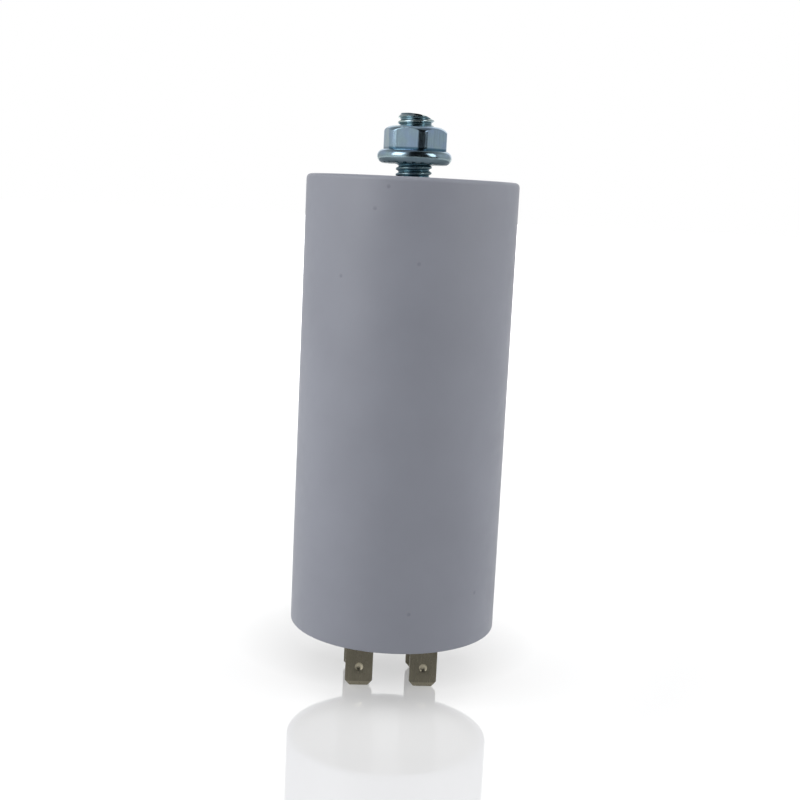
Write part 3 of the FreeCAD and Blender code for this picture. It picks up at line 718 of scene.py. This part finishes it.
class CAPACITOR_OT_shape_nut(bpy.types.Operator):
    """Turn the flange nut and press its hexagon, crown, neck and teeth into it"""

    bl_idname = "capacitor.shape_nut"
    bl_label = "Shape Nut"

    def execute(self, context):
        nut = context.scene.capacitor_nut
        low = nut_low.z
        top = nut_high.z
        side = nut.crown_flat + nut.crown_round
        neck_end = low + nut.flange_height + nut.neck
        equator = low + nut.flange_height / 2
        bm = bmesh.new()
        section(bm, [
            (nut.bore + nut.mouth, low),
            (nut.tooth_start, low),
            (nut.flange_radius, low, nut.flange_round, 20),
            (nut.flange_radius, 2 * equator - low - nut.flange_round),
            (side + nut.neck, neck_end - nut.neck),
            (side, neck_end),
            (side, neck_end + nut.shade_width),
            (side, top, nut.crown_round, 48),
            (nut.bore + nut.mouth, top),
            (nut.bore, top - nut.mouth),
            (nut.bore, low + nut.mouth),
        ])
        self.split_rows(bm, side, equator, neck_end)
        spin_round(bm, nut.steps)
        # Painted shade at the hexagon's foot: each point keeps how near the foot it lies.
        painted_shade = bm.verts.layers.float.new("painted_shade")
        for vert in bm.verts:
            vert[painted_shade] = self.press(vert, nut, side, equator, neck_end)
            self.cut_tooth_gap(vert, nut)
        # Painted shade at the hexagon's foot, and below the flange's equator.
        material = make_zinc("zinc_steel_nut", nut.plating, 0.16, self.find_painted_shade, equator)
        finish_mesh(bm, "flanged_nut", ["flange_nut"], material, sharp=40)
        return {"FINISHED"}

    def find_painted_shade(self, finish):
        """Painted shade: dark where the mesh says that the hexagon's foot is near."""
        near = finish.node("ShaderNodeAttribute", attribute_name="painted_shade").outputs["Fac"]
        return finish.span(near, 0, 0.7, 0, 0.85)

    def split_rows(self, bm, side, equator, neck_end):
        """More rows on the flange's upper side, which follows the foot of the hexagon."""
        for edge in list(bm.edges):
            first, last = sorted(vert.co.z for vert in edge.verts)
            outside = min(vert.co.x for vert in edge.verts) > side - TINY
            if outside and first > equator and last < neck_end + TINY:
                bmesh.ops.subdivide_edges(bm, edges=[edge], cuts=15)

    def press(self, vert, nut, side, equator, neck_end):
        """Press one point of the turned blank in to the hexagon, its neck and its flange.

        Says how near to the hexagon's foot the point lies, from 0 to 1.
        """
        radius = vert.co.xy.length
        level = vert.co.z
        reach = hexagon_reach(nut.flats, nut.corner_radius,
                              math.atan2(vert.co.y, vert.co.x) - nut.turn)
        if level > neck_end + TINY:
            set_radius(vert, min(radius, reach))
            return 0
        if level < equator or radius < side - TINY:
            return 0
        rim = nut.flange_round
        rim_middle = nut.flange_radius - rim
        rim_level = 2 * equator - nut_low.z - rim
        out = reach + nut.neck - rim_middle
        up = math.sqrt((rim + nut.neck) ** 2 - out ** 2)
        meeting = math.atan2(up, out)
        if radius > side + nut.neck:
            along = (nut.flange_radius - radius) / (nut.flange_radius - side - nut.neck)
            set_radius(vert, rim_middle + rim * math.cos(meeting * along))
            vert.co.z = rim_level + rim * math.sin(meeting * along)
            return max(0, 1 - rim * meeting * (1 - along) / nut.shade_width)
        along = (side + nut.neck - radius) / nut.neck
        bearing = math.pi + meeting * (1 - along)
        set_radius(vert, reach + nut.neck + nut.neck * math.cos(bearing))
        vert.co.z = rim_level + up + nut.neck * math.sin(bearing)
        return 1

    def cut_tooth_gap(self, vert, nut):
        """Lift a point of the flange's underside that lies in a gap between two teeth."""
        radius = vert.co.xy.length
        gap = TURN / nut.teeth
        bearing = math.atan2(vert.co.y, vert.co.x) - nut.turn
        off_gap = ((bearing + gap / 2) % gap - gap / 2) * radius
        if radius > nut.tooth_start and abs(off_gap) < nut.tooth_gap / 2:
            vert.co.z = max(vert.co.z, nut_low.z + nut.tooth_depth)


class CAPACITOR_OT_shape_terminals(bpy.types.Operator):
    """Give the two folded terminals the softened edges that a stamping tool leaves"""

    bl_idname = "capacitor.shape_terminals"
    bl_label = "Shape Terminals"

    def execute(self, context):
        tabs = context.scene.capacitor_tabs
        across = (tabs_low.x + tabs_high.x) / 2
        level = tabs_low.z + tabs.dimple_place
        dimples = [(x, y, level) for x in (across, -across) for y in (tabs_low.y, tabs_high.y)]
        material = make_tin(tabs.tin, dimples)
        for side in ("left", "right"):
            node = "terminal_" + side
            piece = finish_mesh(copy_solid(node), "folded_tab_" + side, [node],
                                material)
            bevel = piece.modifiers.new("edges", "BEVEL")
            bevel.width = tabs.edge
            bevel.segments = 2
            bevel.limit_method = "ANGLE"
            bevel.angle_limit = math.radians(24)
            apply_modifiers(piece)
            piece.data.shade_smooth()
            piece.data.set_sharp_from_angle(angle=math.radians(40))
        return {"FINISHED"}


class CAPACITOR_OT_shape_resin(bpy.types.Operator):
    """Round the resin's climb at the wall of the cup"""

    bl_idname = "capacitor.shape_resin"
    bl_label = "Shape Resin"

    def execute(self, context):
        cup = context.scene.capacitor_cup
        resin = context.scene.capacitor_resin
        wall = cup.radius - cup.wall_at_rim
        surface = resin.recess - cup.depth
        rings = (
            (wall - resin.climb_width, surface),
            (wall - resin.climb_width / 3, surface - resin.climb / 3),
        )
        bm = copy_solid("potting_resin")
        edges = [edge for edge in bm.edges for radius, level in rings
                 if all(self.is_on(vert, radius, level) for vert in edge.verts)]
        if not edges:
            raise RuntimeError("the resin's rings aren't where the settings put them")
        bmesh.ops.bevel(bm, geom=edges, offset=resin.rounding, offset_type="OFFSET", segments=5,
                        profile=0.5, affect="EDGES", material=-1)
        finish_mesh(bm, "cast_resin", ["potting_resin"], make_resin(resin.black))
        return {"FINISHED"}

    def is_on(self, vert, radius, level):
        return abs(vert.co.xy.length - radius) < NEAR and abs(vert.co.z - level) < NEAR


class CAPACITOR_OT_finish_contents(bpy.types.Operator):
    """Give the winding, the leads and their joints their materials"""

    bl_idname = "capacitor.finish_contents"
    bl_label = "Finish Contents"

    def execute(self, context):
        pale_tube = (0.69, 0.69, 0.65)
        clear_film = (0.57, 0.60, 0.60)
        insulation = (0.012, 0.012, 0.015)
        zinc_spray = (0.26, 0.26, 0.27)
        wire = (0.48, 0.45, 0.40)
        solder = (0.42, 0.43, 0.44)
        finishes = {
            "film_winding": make_film(),
            "winding_core": make_soft_plastic("core_plastic", pale_tube, 0.5, 0.5),
            "winding_wrap": make_soft_plastic("wrap_film", clear_film, 0.25, 1.5),
            "lead_sleeve": make_soft_plastic("sleeve_plastic", insulation, 0.45, 0.3),
            "end_spray": make_plain_metal("sprayed_metal", zinc_spray, 0.65, 0.25, 0.12),
            "lead_upper": make_plain_metal("tinned_wire", wire, 0.3, 0.6, 0.01),
            "_joint_": make_plain_metal("solder", solder, 0.3, 0.5, 0.03),
        }
        finishes["lead_lower"] = finishes["lead_upper"]
        replaced = ("housing_can", "mounting_stud", "flange_nut", "potting_resin")
        for name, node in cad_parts.items():
            if name in replaced or name.startswith("terminal"):
                continue
            finish = next(made for part, made in finishes.items() if part in name)
            node.material_slots[0].link = "OBJECT"
            node.material_slots[0].material = finish
        return {"FINISHED"}


class CAPACITOR_OT_set_stage(bpy.types.Operator):
    """Lay the pale floor, hang the soft lights and set the camera"""

    bl_idname = "capacitor.set_stage"
    bl_label = "Set Stage"

    def execute(self, context):
        stage = context.scene.capacitor_stage
        floor = self.lay_floor(stage)
        self.light_world(context.scene, stage)
        self.hang_lights(stage, floor)
        self.set_camera(context.scene, stage)
        context.scene.view_settings.view_transform = "Standard"
        return {"FINISHED"}

    def room_tone(self, nodes, way):
        """How light the room is: dark in front, grey beside, white behind, dim overhead."""
        parts = nodes.node("ShaderNodeSeparateXYZ", {0: way}).outputs
        bearing = nodes.math("ARCTAN2", parts["X"], nodes.math("MULTIPLY", parts["Y"], -1))
        share = nodes.math("MULTIPLY_ADD", bearing, 1 / TURN, 0.5)
        # Bearing from the front in degrees, and level
        stops = ((-165, 1.0), (-157, 0.45), (-48, 0.62), (-36, 0.5), (-22, 0.01), (68, 0.01),
                 (80, 0.42), (140, 0.45), (154, 1.0))
        around = nodes.ramp(share, [(degrees / 360 + 0.5, level) for degrees, level in stops])
        overhead = nodes.span(parts["Z"], 0.45, 0.85, 1, 0.4)
        return nodes.math("MULTIPLY", around, overhead)

    def seen(self, nodes, directly, mirrored, lighting):
        """One value for camera and glass, one for gloss, and one for the light that is cast."""
        path = nodes.node("ShaderNodeLightPath").outputs
        look = nodes.math("MAXIMUM", path["Is Camera Ray"], path["Is Transmission Ray"])
        gloss = path["Is Glossy Ray"]
        cast = nodes.math("SUBTRACT", 1, nodes.math("MAXIMUM", look, gloss))
        shown = nodes.math("MULTIPLY", look, directly)
        shown = nodes.math("MULTIPLY_ADD", gloss, mirrored, shown)
        return nodes.math("MULTIPLY_ADD", cast, lighting, shown)

    def lay_floor(self, stage):
        """A glossy pale floor that runs into a white backdrop and keeps the shadow."""
        bm = bmesh.new()
        bmesh.ops.create_grid(bm, x_segments=1, y_segments=1, size=stage.floor_size)
        bmesh.ops.translate(bm, vec=(0, 0, tabs_low.z), verts=bm.verts)
        floor = add_object(bm, "floor")
        finish = Finish("pale_floor", stage.floor_tone, roughness=0.04)
        finish.set("IOR", 3.4)
        finish.set("Emission Color", (1, 1, 1, 1))
        darkest = (0, stage.shade_place, tabs_low.z)
        distance = finish.distance(darkest)
        near = finish.span(distance, stage.shade_start, stage.shade_stop, stage.shade_glow,
                           stage.near_glow)
        far = finish.span(distance, stage.glow_start, stage.glow_stop, 0,
                          stage.far_glow - stage.near_glow)
        horizon = finish.span(distance, stage.glow_stop / 2, 2 * stage.glow_stop, 0, 1)
        fall = finish.span(distance, stage.mirror_start, stage.mirror_stop, 0, stage.mirror_fall)
        glow = finish.math("ADD", near, finish.math("SUBTRACT", far, fall))
        glow = finish.math("MULTIPLY_ADD", horizon, stage.horizon_glow, glow)
        room = self.room_tone(finish, finish.place)
        close = finish.span(distance, stage.shade_stop, 1.3 * stage.shade_stop, 1, 0)
        near_room = finish.math("MAXIMUM", close, room)
        mirrored = finish.math("MULTIPLY_ADD", far, room, finish.math("MULTIPLY", near, near_room))
        fade = finish.math("MULTIPLY_ADD", horizon, -stage.horizon_fade, 1)
        mirrored = finish.math("MULTIPLY", mirrored, fade)
        finish.link(self.seen(finish, glow, mirrored, 0), "Emission Strength")
        floor.data.materials.append(finish.material)
        return floor

    def light_world(self, scene, stage):
        """Soft light from both sides. The camera sees white, and gloss sees the room."""
        world = bpy.data.worlds.new("studio")
        scene.world = world
        world.use_nodes = True
        nodes = Nodes(world.node_tree)
        way = nodes.node("ShaderNodeTexCoord").outputs["Generated"]
        across = nodes.node("ShaderNodeSeparateXYZ", {0: way}).outputs["X"]
        across = nodes.math("POWER", nodes.math("ABSOLUTE", across), 2)
        light = nodes.math("MULTIPLY_ADD", across, stage.side_light, stage.ambient)
        sky = nodes.tree.nodes["Background"]
        sky.inputs["Color"].default_value = (1, 1, 1, 1)
        strength = self.seen(nodes, 1, self.room_tone(nodes, way), light)
        nodes.tree.links.new(strength, sky.inputs["Strength"])

    def hang_lights(self, stage, floor):
        """Two boxes that shine in the metal but not in the floor, and two that only light."""
        aim = Vector((0, 0, can_low.z / 2))
        left_out = bpy.data.collections.new("left_out")
        left_out.objects.link(floor)
        left_out.collection_objects[0].light_linking.link_state = "EXCLUDE"
        # Bearing, rise, width and height in degrees, then radiance and whether metal shows it
        boxes = (
            ("left_box", -60, 31, 34, 40, 1.9, True),
            ("right_box", 56, 31, 20, 40, 1.9, True),
            ("ceiling_box", 0, 74, 45, 45, 1.3, False),
            ("left_fill", -74, 20, 40, 50, 0.45, False),
        )
        for name, bearing, rise, wide, high, radiance, in_metal in boxes:
            bearing, rise, wide, high = map(math.radians, (bearing, rise, wide, high))
            way = Vector((math.sin(bearing) * math.cos(rise), -math.cos(bearing) * math.cos(rise),
                          math.sin(rise)))
            lamp = bpy.data.lights.new(name, "AREA")
            lamp.shape = "RECTANGLE"
            lamp.size = 2 * stage.lamp_distance * math.tan(wide / 2)
            lamp.size_y = 2 * stage.lamp_distance * math.tan(high / 2)
            lamp.energy = radiance * math.pi * lamp.size * lamp.size_y
            light = bpy.data.objects.new(name, lamp)
            light.location = aim + stage.lamp_distance * way
            light.rotation_euler = (-way).to_track_quat("-Z", "Y").to_euler()
            light.visible_glossy = in_metal
            light.visible_diffuse = not in_metal
            if in_metal:
                light.light_linking.receiver_collection = left_out
            bpy.context.scene.collection.objects.link(light)

    def set_camera(self, scene, stage):
        """The camera, placed about the cup's axis and leaning as the picture does."""
        forward = Vector((math.sin(stage.pan) * math.cos(stage.pitch),
                          math.cos(stage.pan) * math.cos(stage.pitch),
                          -math.sin(stage.pitch)))
        level = Vector((math.cos(stage.pan), -math.sin(stage.pan), 0))
        upright = level.cross(forward)
        right = math.cos(stage.roll) * level + math.sin(stage.roll) * upright
        up = math.cos(stage.roll) * upright - math.sin(stage.roll) * level
        turned = Matrix((right, up, -forward)).transposed().to_4x4()
        place = Matrix.Translation((0, -stage.distance, stage.height))
        camera = bpy.data.objects.new("camera", bpy.data.cameras.new("camera"))
        camera.data.lens = stage.lens
        camera.data.sensor_width = 36
        camera.data.clip_start = 0.01
        camera.matrix_world = Matrix.Rotation(-stage.side, 4, "Z") @ place @ turned
        scene.collection.objects.link(camera)
        scene.camera = camera


class VIEW3D_PT_capacitor(bpy.types.Panel):
    """The steps that dress the capacitor, in order"""

    bl_label = "Motor Run Capacitor"
    bl_space_type = "VIEW_3D"
    bl_region_type = "UI"
    bl_category = "Capacitor"

    def draw(self, context):
        for operator in OPERATORS:
            self.layout.operator(operator.bl_idname)


SETTINGS = {
    "capacitor_cup": CupSettings,
    "capacitor_stud": StudSettings,
    "capacitor_nut": NutSettings,
    "capacitor_tabs": TabSettings,
    "capacitor_resin": ResinSettings,
    "capacitor_stage": StageSettings,
}
OPERATORS = (
    CAPACITOR_OT_shape_cup,
    CAPACITOR_OT_shape_stud,
    CAPACITOR_OT_shape_nut,
    CAPACITOR_OT_shape_terminals,
    CAPACITOR_OT_shape_resin,
    CAPACITOR_OT_finish_contents,
    CAPACITOR_OT_set_stage,
)
CLASSES = (*SETTINGS.values(), *OPERATORS, VIEW3D_PT_capacitor)


def register():
    for each in CLASSES:
        bpy.utils.register_class(each)
    for name, group in SETTINGS.items():
        setattr(bpy.types.Scene, name, PointerProperty(type=group))


def unregister():
    for name in SETTINGS:
        delattr(bpy.types.Scene, name)
    for each in reversed(CLASSES):
        bpy.utils.unregister_class(each)


def main():
    register()
    bpy.ops.capacitor.shape_cup()
    bpy.ops.capacitor.shape_stud()
    bpy.ops.capacitor.shape_nut()
    bpy.ops.capacitor.shape_terminals()
    bpy.ops.capacitor.shape_resin()
    bpy.ops.capacitor.finish_contents()
    bpy.ops.capacitor.set_stage()


if __name__ == "__main__":
    main()
